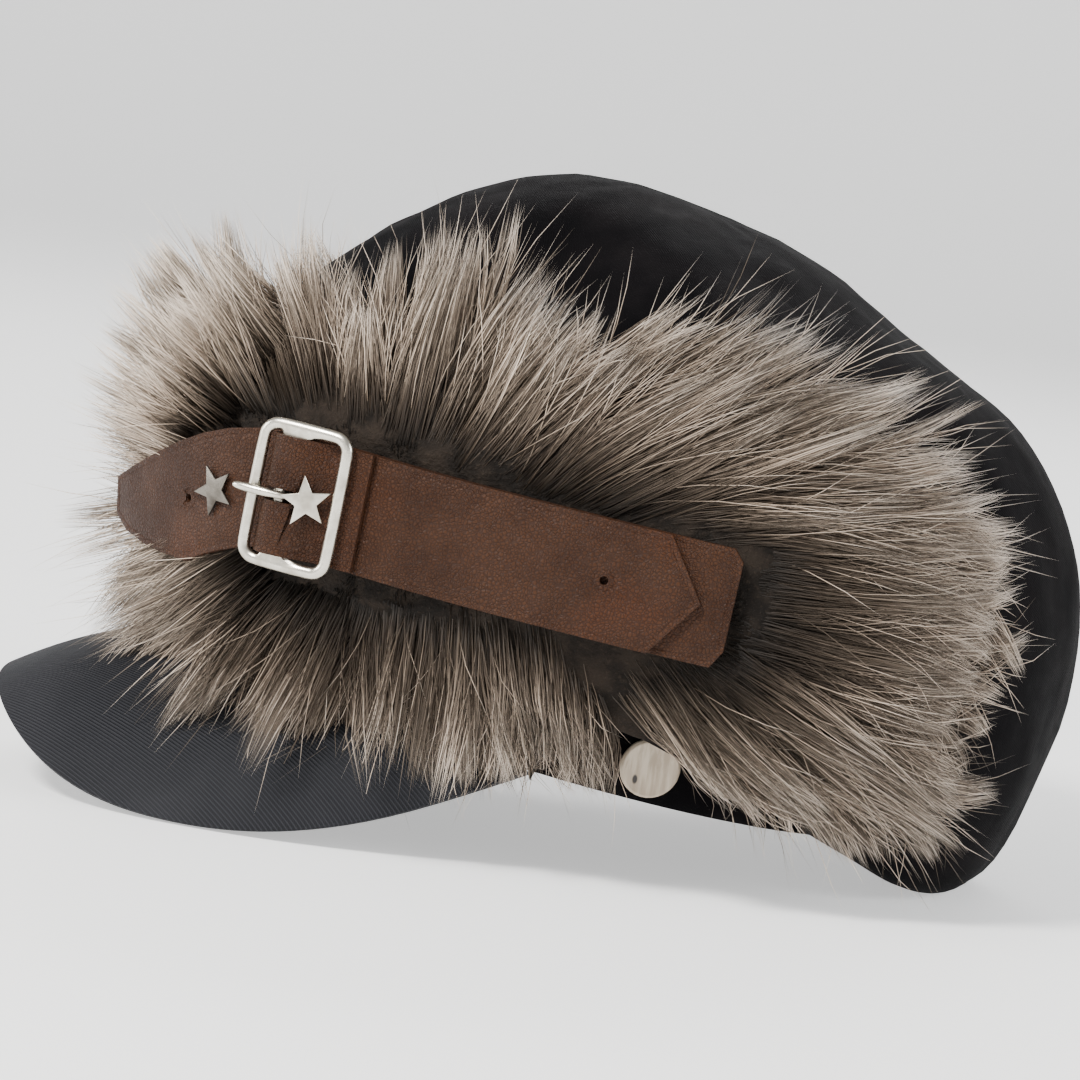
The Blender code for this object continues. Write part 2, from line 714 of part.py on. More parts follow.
def build_side_button(surface):
    angle, row = button_place()
    out = crown_normal(angle, row)
    seat = crown_point(angle, row, GAP)
    turn = Vector(out).to_track_quat("Z", "Y").to_matrix().to_4x4()
    turn.translation = to_metres(seat)
    bm = bmesh.new()
    shank = BUTTON_SHANK
    profile = (
        (0.0, 0.0), (2.5, 0.0), (2.5, shank), (BUTTON_RADIUS - 0.6, shank), (BUTTON_RADIUS, shank + 0.8),
        (BUTTON_RADIUS, shank + 2.0), (BUTTON_RADIUS - 0.8, shank + BUTTON_THICKNESS - 0.2),
        (BUTTON_RADIUS - 2.2, shank + BUTTON_THICKNESS - 0.6), (0.0, shank + BUTTON_THICKNESS - 0.8),
    )
    verts = [bm.verts.new(Vector((radius, 0.0, height)) * SCALE) for radius, height in profile]
    edges = [bm.edges.new(pair) for pair in zip(verts, verts[1:])]
    bmesh.ops.spin(
        bm, geom=verts + edges, axis=(0, 0, 1), cent=(0, 0, 0), angle=2 * math.pi, steps=16,
        use_merge=True,
    )
    bmesh.ops.remove_doubles(bm, verts=bm.verts, dist=0.00001)
    bmesh.ops.transform(bm, matrix=turn, verts=bm.verts)
    return finish_object("side_button", bm, surface)


def keep_out_points():
    """Points of the belt, the buckle and the peak that the fur's locks stay clear of."""
    points = []
    for distance in np.arange(LOWER_BACK, LOWER_TIP, 3.0):
        for across in np.linspace(-BELT_WIDTH / 2, BELT_WIDTH / 2, 11):
            for level in (1.0, 3.5):
                points.append(belt_point(float(distance), float(across), level))
    for distance in np.arange(-18.0, 22.0, 4.0):
        for across in np.linspace(-FRAME_HEIGHT / 2 - 2, FRAME_HEIGHT / 2 + 2, 9):
            for level in (5.0, 9.0, 12.0):
                points.append(buckle_point(float(distance), float(across), level))
    for across in np.linspace(-1, 1, 45):
        for outwards in np.linspace(0, 1, 12):
            points.append(peak_point(float(across), float(outwards)) + np.array((0.0, 0.0, PEAK_THICKNESS)))
    return np.array(points)


def belt_back_points(start, end):
    """Points on the belt's back, where the fur is pressed flat, and which way the belt faces there."""
    points, facings = [], []
    for distance in np.arange(start, end, 2.0):
        facing = unit(belt_point(float(distance), 0.0, 1.0) - belt_point(float(distance), 0.0, 0.0))
        for across in np.linspace(-BELT_WIDTH / 2, BELT_WIDTH / 2, 13):
            points.append(belt_point(float(distance), float(across), -BELT_THICKNESS / 2 - GAP - 0.15))
            facings.append(facing)
    return np.array(points), np.array(facings)


def distances_out(point, normal, targets):
    """How far each target lies out along the normal, and how far beside it."""
    offset = targets[0] - point
    out = offset @ normal
    beside = np.linalg.norm(offset - np.outer(out, normal), axis=1)
    beside[out < 0] = 1e6
    return out, beside


def fur_height(point, normal, backs, tips):
    """Thickness of the pressed fur over the crown: thin at the edges, up to the belt behind it."""
    out, beside = distances_out(point, normal, backs)
    nearest = int(np.argmin(beside))
    share = 1.0 - smooth((beside[nearest] - BELT_PRESS) / BELT_SPREAD)
    facing = backs[1][nearest]
    reach = (backs[0][nearest] - point) @ facing / max(normal @ facing, 0.3)
    height = FUR_SKIN + (max(reach, FUR_SKIN) - FUR_SKIN) * share
    out, beside = distances_out(point, normal, tips)
    close = out[beside < TIP_REACH]
    return min(height, close.min() - TIP_CLEAR) if len(close) else height


def under_belt(point, normal, backs):
    _, beside = distances_out(point - normal * COVER_DEPTH, normal, backs)
    return beside.min() < COVER_REACH


def flow(point, normal):
    """Direction in which the hair leaves a point: away from the middle of the belt, and outwards."""
    along = np.array((
        (point[0] - FUR_CENTRE_X) / FUR_SPAN_X, 0.0, (point[2] - FUR_CENTRE_Z) / FUR_SPAN_Z,
    ))
    along = along / max(np.linalg.norm(along), FUR_LEAST_LEAN)
    return along, unit(along + normal * LOCK_LIFT)


def lock_path(root, start, end, length):
    """Middle points of a lock's two rings and its tip, each with the lock's width there."""
    path = []
    for reach, width in LOCK_STEPS:
        bend = unit(start * (1 - reach * 0.8) + end * reach * 0.8)
        path.append((root + bend * length * reach, width))
    return path


def clear_of(path, corners, root, keep_out):
    """Whether a lock with this path keeps clear of the belt, the buckle, the peak and the floor."""
    rings = [corners] + [[spot + (corner - root) * width for corner in corners] for spot, width in path]
    for lower, upper in zip(rings, rings[1:]):
        for start, end in zip(lower, upper):
            for share in (0.35, 0.7, 1.0):
                spot = start + (end - start) * share
                if spot[2] < LOWEST_LOCK or np.min(np.linalg.norm(keep_out - spot, axis=1)) < LOCK_CLEAR:
                    return False
    return True


def grow_lock(bm, face, corners, normal, length, rng, keep_out):
    """Draws one tapered, bent lock out of a face of the fur's skin."""
    root = sum(corners) / len(corners)
    along, start = flow(root, normal)
    sway = np.array([rng.uniform(-0.16, 0.16) for _ in range(3)])
    end = unit(along * 1.3 + normal * 0.25 + np.array((0.0, 0.0, -0.3)) + sway)
    while not clear_of(lock_path(root, start, end, length), corners, root, keep_out):
        length *= 0.87
        if length < SHORTEST_LOCK:
            return
    bmesh.ops.inset_individual(bm, faces=[face], thickness=0.8 * SCALE)
    for vert, corner in zip(face.verts, corners):
        vert.co = to_metres(corner)
    path = lock_path(root, start, end, length)
    for spot, width in path[:-1]:
        face = bmesh.ops.extrude_discrete_faces(bm, faces=[face])["faces"][0]
        for vert, corner in zip(face.verts, corners):
            vert.co = to_metres(spot + (corner - root) * width)
    tip = bmesh.ops.poke(bm, faces=[face])["verts"][0]
    tip.co = to_metres(path[-1][0])


def lock_base(face, normal, backs):
    """Corners of a lock's base on a face of the skin, drawn in from the belt; none if it is covered."""
    corners = [np.array(vert.co) / SCALE + ORIGIN for vert in face.verts]
    middle = sum(corners) / 4
    if under_belt(middle, normal, backs):
        return None
    base = []
    for corner in corners:
        draw_in = LOCK_INSET
        while under_belt(middle + (corner - middle) * (1 - draw_in), normal, backs):
            draw_in += LOCK_INSET_STEP
        base.append(middle + (corner - middle) * (1 - draw_in))
    return base


def build_fur_trim(surface):
    """Fur strip: a backing on the crown, its pressed hair, and locks drawn out of it."""
    rng = random.Random(7)
    table = np.array(FUR_EDGES, float)
    backs, keep_out = belt_back_points(LOWER_BACK, FUR_SEAT_END), keep_out_points()
    tips = belt_back_points(FUR_SEAT_END, LOWER_TIP)
    inner, outer, normals = [], [], []
    for band in range(FUR_BANDS + 1):
        inner_row, outer_row, normal_row = [], [], []
        for column in range(FUR_COLUMNS + 1):
            angle = FUR_END_ANGLE * (2 * column / FUR_COLUMNS - 1)
            low = np.interp(abs(angle), table[:, 0], table[:, 1])
            high = np.interp(abs(angle), table[:, 0], table[:, 2])
            row = low + (high - low) * band / FUR_BANDS
            normal = crown_normal(angle, row)
            under = FUR_UNDER_GAP * smooth((7.5 - row) / 2.5) * smooth((abs(angle) - 50.0) / 25.0)
            skin = crown_point(angle, row, FUR_GAP + under)
            height = fur_height(skin, normal, backs, tips)
            inner_row.append(skin)
            outer_row.append(skin + normal * height)
            normal_row.append(normal)
        inner.append(inner_row)
        outer.append(outer_row)
        normals.append(normal_row)

    bm = bmesh.new()
    inner_verts, _ = add_grid(bm, inner)
    outer_verts, outer_faces = add_grid(bm, outer)
    for lower, upper in ((inner_verts[0], outer_verts[0]), (inner_verts[-1], outer_verts[-1])):
        grid_faces(bm, (lower, upper))
    for column in (0, -1):
        grid_faces(bm, ([row[column] for row in inner_verts], [row[column] for row in outer_verts]))
    point_faces_out(bm)

    for band, strip in enumerate(outer_faces):
        for column, face in enumerate(strip):
            normal = unit(sum(normals[band + i][column + j] for i in (0, 1) for j in (0, 1)))
            corners = lock_base(face, normal, backs)
            if corners:
                angle = abs(FUR_END_ANGLE * ((2 * column + 1) / FUR_COLUMNS - 1))
                length = np.interp(angle, table[:, 0], table[:, 3]) * rng.uniform(0.75, 1.1)
                grow_lock(bm, face, corners, normal, length, rng, keep_out)
    return finish_object("fur_trim", bm, surface, 60.0, pointed=True)


def build_cap():
    for leftover in list(bpy.data.objects):
        bpy.data.objects.remove(leftover)
    black_cloth = material("black_cloth", (0.012, 0.011, 0.013), 0.75)
    peak_cloth = material("peak_cloth", (0.022, 0.022, 0.026), 0.65)
    band_cloth = material("band_cloth", (0.02, 0.02, 0.022), 0.8)
    fur = material("fur", (0.19, 0.15, 0.12), 0.7)
    leather = material("brown_leather", (0.075, 0.04, 0.028), 0.45)
    metal = material("pale_nickel", (0.66, 0.65, 0.6), 0.3, 1.0)
    bone = material("bone_button", (0.52, 0.45, 0.36), 0.5)
    build_crown(black_cloth)
    build_head_band(band_cloth)
    build_peak(peak_cloth)
    build_fur_trim(fur)
    build_belt_lower(leather)
    build_belt_upper(leather)
    build_buckle_frame(metal)
    build_buckle_prong(metal)
    build_stars(metal)
    build_side_button(bone)


build_cap()
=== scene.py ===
"""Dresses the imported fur-trimmed casquette cap for its picture: black cloth, twill peak, brown leather
belt, nickel buckle and studs, and long two-toned fur. Lengths are metres unless a name says otherwise."""
import math
from collections import namedtuple

import bmesh
import bpy
import numpy as np
from mathutils import Matrix, Vector, noise
from mathutils.bvhtree import BVHTree
from mathutils.kdtree import KDTree


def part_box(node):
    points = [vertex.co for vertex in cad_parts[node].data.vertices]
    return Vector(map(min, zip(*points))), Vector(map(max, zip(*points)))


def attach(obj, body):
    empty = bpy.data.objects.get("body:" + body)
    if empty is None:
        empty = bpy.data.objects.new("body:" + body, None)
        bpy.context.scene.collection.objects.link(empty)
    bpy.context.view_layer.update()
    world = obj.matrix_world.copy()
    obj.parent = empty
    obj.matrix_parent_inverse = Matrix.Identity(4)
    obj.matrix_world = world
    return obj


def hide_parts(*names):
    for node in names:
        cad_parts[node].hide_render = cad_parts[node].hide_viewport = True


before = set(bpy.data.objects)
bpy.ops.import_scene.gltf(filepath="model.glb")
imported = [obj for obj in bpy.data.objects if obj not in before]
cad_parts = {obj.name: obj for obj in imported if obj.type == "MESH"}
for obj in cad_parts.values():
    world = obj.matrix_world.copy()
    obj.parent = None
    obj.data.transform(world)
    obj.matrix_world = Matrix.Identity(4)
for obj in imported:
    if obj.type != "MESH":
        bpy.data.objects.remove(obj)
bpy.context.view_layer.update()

MM = 0.001

# Camera: the photograph's angle on the cap, its roll, and the cap's place in the picture
VIEW_AZIMUTH = -2.9
VIEW_ELEVATION = 6.0
VIEW_ROLL = 7.2
VIEW_DISTANCE = 1.6
VIEW_TARGET = Vector((0.00155, -0.0101, 0.1))
TARGET_PIXEL = (564.0, 504.0)
PICTURE_PIXELS = 1080
MM_PER_PIXEL = 0.305
SENSOR_MM = 36.0

# Lights: name, place, size, watts and colour of each, and the even light of the sky
LIGHTS = (
    ("key_light", (-0.9, -1.2, 1.6), (0.5, 0.45), 78.0, (1.0, 0.985, 0.96)),
    ("side_light", (1.6, -0.7, 0.8), (0.7, 0.7), 18.0, (0.96, 0.98, 1.0)),
    ("left_light", (-1.7, -0.3, 0.55), (0.7, 0.7), 20.0, (1.0, 0.99, 0.98)),
    ("back_light", (0.3, 1.6, 1.3), (1.4, 0.6), 24.0, (1.0, 1.0, 1.0)),
)
SKY_COLOUR = (0.95, 0.96, 0.98, 1.0)
SKY_STRENGTH = 0.42

# Crown cloth: stiff up to a height over the band's rim, then creased more and more over the next stretch
BAND_HEIGHT = 30 * MM
BAND_CENTRE_X = 11 * MM
STIFF_HEIGHT = 14 * MM
CREASE_FADE = 30 * MM
SLOW_CREASE = 1.6 * MM
QUICK_CREASE = 0.8 * MM
CREASE_SEED = 5

# Belt: the width of its skived edge and of the groove beside it, and the groove's depth
SKIVED_EDGE = 1.5 * MM
GROOVE_SIDE = 0.3 * MM
GROOVE_DEPTH = 0.14 * MM

# Fur: the pieces, from the rear right round the front to the rear left, and their hairs
FUR_PART_NAMES = ("fur_right_back", "fur_right_front", "fur_front", "fur_left_front", "fur_left_back")
GUARD_HAIRS = 26500
UNDER_HAIRS = 24000
GUARD_TRIANGLES, UNDER_TRIANGLES = 22, 10
GUARD_RADIUS = 0.21 * MM
UNDER_RADIUS = 0.24 * MM
LOOSE_SHARE = 0.24
LIGHT_SHARE = 0.4
LONGEST_HAIR = 77 * MM
SHORTEST_HAIR = 12 * MM
RIGHT_SIDE_LENGTH = 0.76
ROOT_DEPTH = 0.6 * MM
LEAST_LIFT, MOST_LIFT = 5 * MM, 11 * MM
LEAST_SIDEWAYS = 0.15
CURL = 2.8 * MM
LOOSE_CURL = 9 * MM

# Clumps: how many, and how much of each hair's way to its clump it goes at each of its steps
CLUMPS = 760
HAIR_STEPS = (0.25, 0.5, 0.75, 1.0)
CLUMP_PULL = (0.08, 0.3, 0.54, 0.72)
CLUMP_BEND = 6 * MM
CLUMP_WANDER = 3 * MM

# The fur solid: the most that the angles round a lock's tip add up to, in radians
SHARP_TIP = 3.3

# Fur over the cap: its height over the crown's side, and its distance from what it keeps clear of
DRAPE_HEIGHT = 6 * MM
DRAPE_RISE = 4 * MM
LEFT_FLUFF, RIGHT_FLUFF = 7 * MM, 12 * MM
DRAPE_SHARE = 0.75
CROWN_MARGIN, PEAK_MARGIN = 0.9 * MM, 0.7 * MM
MARGIN_SPREAD = 2 * MM
FLOOR_MARGIN = 3 * MM
INTO_BELT = Vector((-0.05, 0.993, -0.105)).normalized()
BELT_REACH = 70 * MM
BELT_GAP = 9 * MM
LEAST_PELT = 3 * MM
STRAY_SHARE = 0.003
HEAD_ROOM = ((-46 * MM, -70 * MM, 20 * MM), (68 * MM, 50 * MM, 162 * MM))

# How the front fur parts, by the root's height: the hair's angle over level, and its length
PARTING_JITTER = 5.0
COMB_HEIGHTS = (70 * MM, 86 * MM, 93 * MM, 99 * MM, 106 * MM, 122 * MM)
COMB_DEGREES = (-58.0, -40.0, -20.0, 6.0, 19.0, 42.0)
COMB_LENGTHS = (52 * MM, 42 * MM, 32 * MM, 32 * MM, 40 * MM, 42 * MM)

# How the hair streams over the cap's side, in mm of the frame: each stroke from its root to its tip
Stroke = namedtuple("Stroke", "root_x root_z tip_x tip_z")
STROKES = (
    Stroke(-89, 117, -126, 131), Stroke(-85, 117, -113, 148), Stroke(-75, 121, -109, 165),
    Stroke(-68, 122, -95, 177), Stroke(-62, 120, -82, 177), Stroke(-55, 121, -66, 164),
    Stroke(-46, 121, -50, 172), Stroke(-40, 120, -34, 189), Stroke(-34, 119, -15, 195),
    Stroke(-26, 121, -1, 171), Stroke(-17, 117, 14, 160), Stroke(-5, 128, 24, 172),
    Stroke(3, 134, 49, 178), Stroke(15, 130, 75, 170), Stroke(27, 123, 101, 160),
    Stroke(44, 123, 124, 143), Stroke(57, 113, 137, 113), Stroke(59, 96, 134, 87),
    Stroke(59, 78, 127, 60), Stroke(58, 69, 132, 23), Stroke(48, 68, 109, 21),
    Stroke(37, 68, 86, 25), Stroke(22, 69, 58, 27), Stroke(10, 72, 27, 29),
    Stroke(-7, 75, 5, 24), Stroke(-22, 78, -18, 23), Stroke(-37, 79, -39, 18),
    Stroke(-51, 78, -69, 17), Stroke(-65, 76, -97, 17), Stroke(-77, 76, -133, 16),
    Stroke(-84, 77, -158, 27), Stroke(-90, 77, -155, 45),
)


# Shader building

class Value:
    """One output of a shader node; arithmetic on it adds Math nodes."""

    def __init__(self, finish, socket):
        self.finish = finish
        self.socket = socket

    def __add__(self, other):
        return self.finish.maths("ADD", self, other)

    def __sub__(self, other):
        return self.finish.maths("SUBTRACT", self, other)

    def __mul__(self, other):
        return self.finish.maths("MULTIPLY", self, other)

    def __rsub__(self, other):
        return self.finish.maths("SUBTRACT", other, self)

    __radd__ = __add__
    __rmul__ = __mul__


class Finish:
    """A material on a Principled BSDF. Keyword values are set on the shader's own sockets."""

    def __init__(self, name, **constants):
        self.material = bpy.data.materials.new(name)
        self.material.use_nodes = True
        self.tree = self.material.node_tree
        self.shader = self.tree.nodes["Principled BSDF"]
        for socket, value in constants.items():
            self.shader.inputs[socket.replace("_", " ")].default_value = value
        self.place = self.node("ShaderNodeTexCoord", output="Object")

    def node(self, kind, settings=None, inputs=None, output=0):
        made = self.tree.nodes.new(kind)
        for name, value in (settings or {}).items():
            if name == "stops":
                self.set_stops(made.color_ramp, value)
            else:
                setattr(made, name, value)
        for key, value in (inputs or {}).items():
            self.feed(made.inputs[key], value)
        return Value(self, made.outputs[output])

    def set_stops(self, ramp, stops):
        while len(ramp.elements) < len(stops):
            ramp.elements.new(0.5)
        for element, (position, colour) in zip(ramp.elements, stops):
            element.position = position
            element.color = (*colour, 1.0)

    def feed(self, socket, value):
        if isinstance(value, Value):
            self.tree.links.new(value.socket, socket)
        else:
            socket.default_value = value

    def maths(self, operation, first, second=0.0):
        return self.node("ShaderNodeMath", {"operation": operation}, {0: first, 1: second})

    def scaled(self, factors, vector=None):
        return self.node(
            "ShaderNodeVectorMath", {"operation": "MULTIPLY"}, {0: vector or self.place, 1: factors}
        )

    def parts(self, vector):
        return [self.node("ShaderNodeSeparateXYZ", inputs={0: vector}, output=k) for k in range(3)]

    def noise(self, scale, detail=2.0, roughness=0.5, vector=None):
        return self.node(
            "ShaderNodeTexNoise", None,
            {"Vector": vector or self.place, "Scale": scale, "Detail": detail, "Roughness": roughness},
        )

    def cells(self, scale, vector, feature="F1"):
        return self.node("ShaderNodeTexVoronoi", {"feature": feature}, {"Vector": vector, "Scale": scale})

    def mask(self, value, low, high):
        """0 below low and 1 above high, smoothly."""
        return self.node(
            "ShaderNodeMapRange", {"interpolation_type": "SMOOTHSTEP"},
            {"Value": value, "From Min": low, "From Max": high},
        )

    def ramp(self, value, stops):
        return self.node("ShaderNodeValToRGB", {"stops": stops}, {"Fac": value})

    def mix(self, factor, first, second):
        first = first if isinstance(first, Value) else (*first, 1.0)
        second = second if isinstance(second, Value) else (*second, 1.0)
        return self.node(
            "ShaderNodeMix", {"data_type": "RGBA"}, {0: factor, 6: first, 7: second}, output=2
        )

    def bump(self, height, distance, strength):
        return self.node(
            "ShaderNodeBump", None, {"Height": height, "Distance": distance, "Strength": strength}
        )

    def show(self, **links):
        """Feeds the shader's varying sockets and returns the material."""
        for socket, value in links.items():
            self.feed(self.shader.inputs[socket.replace("_", " ")], value)
        return self.material


def crown_cloth():
    """Dense matt wool cloth, with a fine crossed weave, soft mottling and a little lint."""
    made = Finish("black_cloth", IOR=1.1)
    x, y, z = made.parts(made.scaled((8200.0, 8200.0, 8200.0)))
    weave = made.maths("SINE", x + y * 0.6) * made.maths("SINE", z - y * 0.5)
    mottle = made.noise(38.0, 3.0)
    lint = made.mask(made.noise(900.0, 3.0, 0.7), 0.66, 0.78)
    base = made.mix(made.mask(mottle, 0.35, 0.7), (0.0022, 0.002, 0.0024), (0.0052, 0.0044, 0.0048))
    colour = made.mix(lint * 0.35, base, (0.03, 0.026, 0.028))
    relief = weave * 0.25 + made.noise(1500.0, 4.0) + made.noise(240.0, 2.0) * 0.8
    return made.show(
        Base_Color=colour, Roughness=made.noise(160.0, 3.0) * 0.2 + 0.62,
        Normal=made.bump(relief, 0.25 * MM, 0.8),
    )


def peak_cloth():
    """Stiff charcoal twill: fine slanting ribs over the peak's board."""
    made = Finish("peak_cloth", IOR=1.22)
    x, y, z = made.parts(made.place)
    sway = made.noise(60.0, 2.0) * 1.2
    ribs = made.maths("SINE", (x * 0.8 + y * 0.9 + z * 0.5) * (2 * math.pi / (1.15 * MM)) + sway)
    threads = made.maths("SINE", (x * 0.9 - y * 0.8) * (2 * math.pi / (0.6 * MM)) + sway)
    height = ribs * 0.5 + threads * 0.2 + made.noise(1800.0, 3.0) * 0.6
    wash = made.mask(made.noise(26.0, 3.0), 0.35, 0.7)
    base = made.mix(wash, (0.0065, 0.0068, 0.0086), (0.011, 0.0112, 0.0135))
    colour = made.mix(made.mask(ribs, 0.2, 1.0) * 0.45, base, (0.034, 0.035, 0.041))
    return made.show(
        Base_Color=colour, Roughness=made.noise(120.0, 3.0) * 0.18 + 0.52,
        Normal=made.bump(height, 0.16 * MM, 0.9),
    )


def band_cloth():
    """Ribbed ribbon inside the band, its ribs running up and down."""
    made = Finish("band_cloth", Specular_IOR_Level=0.35, Sheen_Weight=0.1)
    x, y, z = made.parts(made.place)
    turn = made.maths("ARCTAN2", y, x - BAND_CENTRE_X)
    ribs = made.maths("SINE", turn * 560.0)
    rows = made.maths("SINE", (z + x * 0.158) * (2 * math.pi / (1.3 * MM)))
    colour = made.mix(made.mask(ribs, -0.4, 0.8), (0.008, 0.008, 0.009), (0.022, 0.021, 0.023))
    return made.show(
        Base_Color=colour, Roughness=made.noise(200.0, 3.0) * 0.2 + 0.55,
        Normal=made.bump(ribs * 0.6 + rows * 0.25 + made.noise(1400.0, 2.0) * 0.4, 0.22 * MM, 0.8),
    )


def leather(name, dark, mid, warm, gloss):
    """Pebbled leather: rounded grain cells with dark valleys, cloudy colour and a worn sheen."""
    made = Finish(name, IOR=1.21, Coat_Roughness=0.4)
    swirl = made.node(
        "ShaderNodeVectorMath", {"operation": "ADD"},
        {0: made.place, 1: made.scaled((0.0011, 0.0011, 0.0011), made.noise(420.0, 2.0))},
    )
    pebble = made.cells(1000.0, swirl)
    valley = made.mask(made.cells(1000.0, swirl, "DISTANCE_TO_EDGE"), 0.0, 0.2)
    fine = made.noise(3200.0, 3.0)
    wrinkle = made.noise(260.0, 3.0, 0.6, made.scaled((1.0, 1.0, 2.2)))
    cloud = made.mask(made.noise(48.0, 4.0, 0.6), 0.36, 0.66)
    red = made.mask(made.noise(22.0, 2.0), 0.48, 0.7)
    base = made.mix(red * 0.8, made.mix(cloud, dark, mid), warm)
    colour = made.mix(valley, made.mix(0.55, base, (0.012, 0.006, 0.005)), base)
    relief = valley * 0.9 - pebble * 0.6 + fine * 0.3 + wrinkle * 1.1
    return made.show(
        Base_Color=colour,
        Roughness=gloss + made.noise(300.0, 3.0) * 0.22 - valley * 0.08,
        Coat_Weight=cloud * 0.05,
        Normal=made.bump(relief, 0.24 * MM, 0.9),
    )


def nickel(name, bright, dull):
    """Old nickel: warm metal, rubbed brighter in patches, with fine scratches."""
    made = Finish(name, Metallic=1.0)
    tarnish = made.mask(made.noise(130.0, 4.0, 0.6), 0.42, 0.75)
    scratch = made.noise(300.0, 4.0, vector=made.scaled((1.0, 1.0, 9.0)))
    pits = made.mask(made.noise(2600.0, 2.0), 0.66, 0.8)
    colour = made.mix(tarnish, bright, dull)
    return made.show(
        Base_Color=made.mix(pits * 0.5, colour, (0.2, 0.18, 0.15)),
        Roughness=0.2 + tarnish * 0.16 + scratch * 0.12,
        Normal=made.bump(scratch * 0.6 - pits * 0.5, 0.03 * MM, 0.5),
    )


def bone():
    """Cream button with faint grain streaks; its hole is a bump with painted shade, a near-black spot."""
    made = Finish("bone_button", Specular_IOR_Level=0.45)
    streaks = made.noise(420.0, 4.0, 0.6, made.scaled((1.0, 1.0, 0.08)))
    cloud = made.noise(160.0, 3.0)
    base = made.mix(made.mask(streaks, 0.38, 0.66), (0.34, 0.27, 0.195), (0.55, 0.47, 0.365))
    colour = made.mix(made.mask(cloud, 0.3, 0.7) * 0.4, base, (0.45, 0.365, 0.275))
    low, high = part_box("side_button")
    hole = made.node(
        "ShaderNodeVectorMath", {"operation": "DISTANCE"},
        {0: made.scaled((1.0, 0.0, 0.55)), 1: (low.x + 5.2 * MM, 0.0, (low.z + 5.6 * MM) * 0.55)}, output=1,
    )
    solid = made.mask(hole, 0.5 * MM, 0.95 * MM)
    # Painted shade: the button's hole is coloured near black.
    return made.show(
        Base_Color=made.mix(solid, (0.02, 0.015, 0.012), colour), Roughness=streaks * 0.25 + 0.34,
        Normal=made.bump(streaks * 0.5 + cloud * 0.15 + solid * 2.0, 0.12 * MM, 0.6),
    )


def hair():
    """One hair's colour: its tone is the map's u, and its place from root to tip is v."""
    made = Finish("fur_hair", IOR=1.35)
    spot = made.node("ShaderNodeUVMap", {"uv_map": "OFBake"})
    tone, along, _ = made.parts(spot)
    dark = made.ramp(along, (
        (0.0, (0.007, 0.005, 0.0035)), (0.3, (0.028, 0.019, 0.0125)),
        (0.7, (0.062, 0.044, 0.029)), (1.0, (0.115, 0.086, 0.06)),
    ))
    light = made.ramp(along, (
        (0.0, (0.014, 0.010, 0.007)), (0.3, (0.10, 0.072, 0.049)),
        (0.62, (0.58, 0.455, 0.35)), (1.0, (0.98, 0.855, 0.725)),
    ))
    return made.show(Base_Color=made.mix(tone, dark, light), Roughness=0.62 - tone * 0.22)


def pelt():
    """Short dense wool at the roots of the fur, combed outwards, coloured near black as painted shade under
    the hairs.
    """
    made = Finish("fur_pelt", Specular_IOR_Level=0.1)
    strands = made.noise(700.0, 4.0, 0.65)
    clumps = made.noise(110.0, 3.0)
    # Painted shade: the wool's base colours are near black to stand for the shade between the hairs.
    base = made.mix(made.mask(clumps, 0.35, 0.7), (0.005, 0.0036, 0.0026), (0.017, 0.0122, 0.0088))
    colour = made.mix(made.mask(strands, 0.5, 0.8) * 0.5, base, (0.04, 0.029, 0.021))
    return made.show(
        Base_Color=colour, Roughness=strands * 0.2 + 0.6,
        Normal=made.bump(strands + clumps * 0.7, 1.2 * MM, 0.9),
    )


def plain_floor():
    made = Finish(
        "plain_floor", Specular_IOR_Level=0.2, Emission_Color=(1.0, 1.0, 1.0, 1.0), Emission_Strength=0.62
    )
    faint = made.noise(3.0, 2.0)
    return made.show(Base_Color=made.mix(faint, (0.80, 0.80, 0.795), (0.815, 0.815, 0.81)), Roughness=0.7)


# Modelling helpers

def select_only(made):
    if bpy.context.object and bpy.context.object.mode != "OBJECT":
        bpy.ops.object.mode_set(mode="OBJECT")
    bpy.ops.object.select_all(action="DESELECT")
    made.select_set(True)
    bpy.context.view_layer.objects.active = made


def shape(made, kind, **settings):
    """Adds one modifier and applies it."""
    slot = made.modifiers.new(kind.lower(), kind)
    for name, value in settings.items():
        setattr(slot, name, value)
    select_only(made)
    bpy.ops.object.modifier_apply(modifier=slot.name)


def dress(made, finish, sharp_angle=None):
    """Gives a finished piece its material, smooth shading and body."""
    made.data.materials.clear()
    made.data.materials.append(finish)
    select_only(made)
    if sharp_angle:
        bpy.ops.object.shade_smooth_by_angle(angle=math.radians(sharp_angle))
    else:
        bpy.ops.object.shade_smooth()
    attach(made, "root")


def copy_of(node, name, flatness=35.0, squareness=50.0):
    """A merged copy of a CAD node, with its triangles paired back into quads, by angles in degrees."""
    made = bpy.data.objects.new(name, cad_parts[node].data.copy())
    bpy.context.scene.collection.objects.link(made)
    made.data.materials.clear()
    select_only(made)
    bpy.ops.mesh.customdata_custom_splitnormals_clear()
    bpy.ops.object.mode_set(mode="EDIT")
    bpy.ops.mesh.select_all(action="SELECT")
    bpy.ops.mesh.remove_doubles(threshold=0.01 * MM)
    bpy.ops.mesh.tris_convert_to_quads(
        face_threshold=math.radians(flatness), shape_threshold=math.radians(squareness)
    )
    bpy.ops.mesh.select_all(action="DESELECT")
    bpy.ops.object.mode_set(mode="OBJECT")
    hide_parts(node)
    return made


def tree_of(*nodes):
    """A search tree over the triangles of some CAD nodes."""
    bm = bmesh.new()
    for node in nodes:
        bm.from_mesh(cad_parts[node].data)
    bmesh.ops.remove_doubles(bm, verts=bm.verts, dist=0.01 * MM)
    tree = BVHTree.FromBMesh(bm)
    bm.free()
    return tree


# Cloth pieces

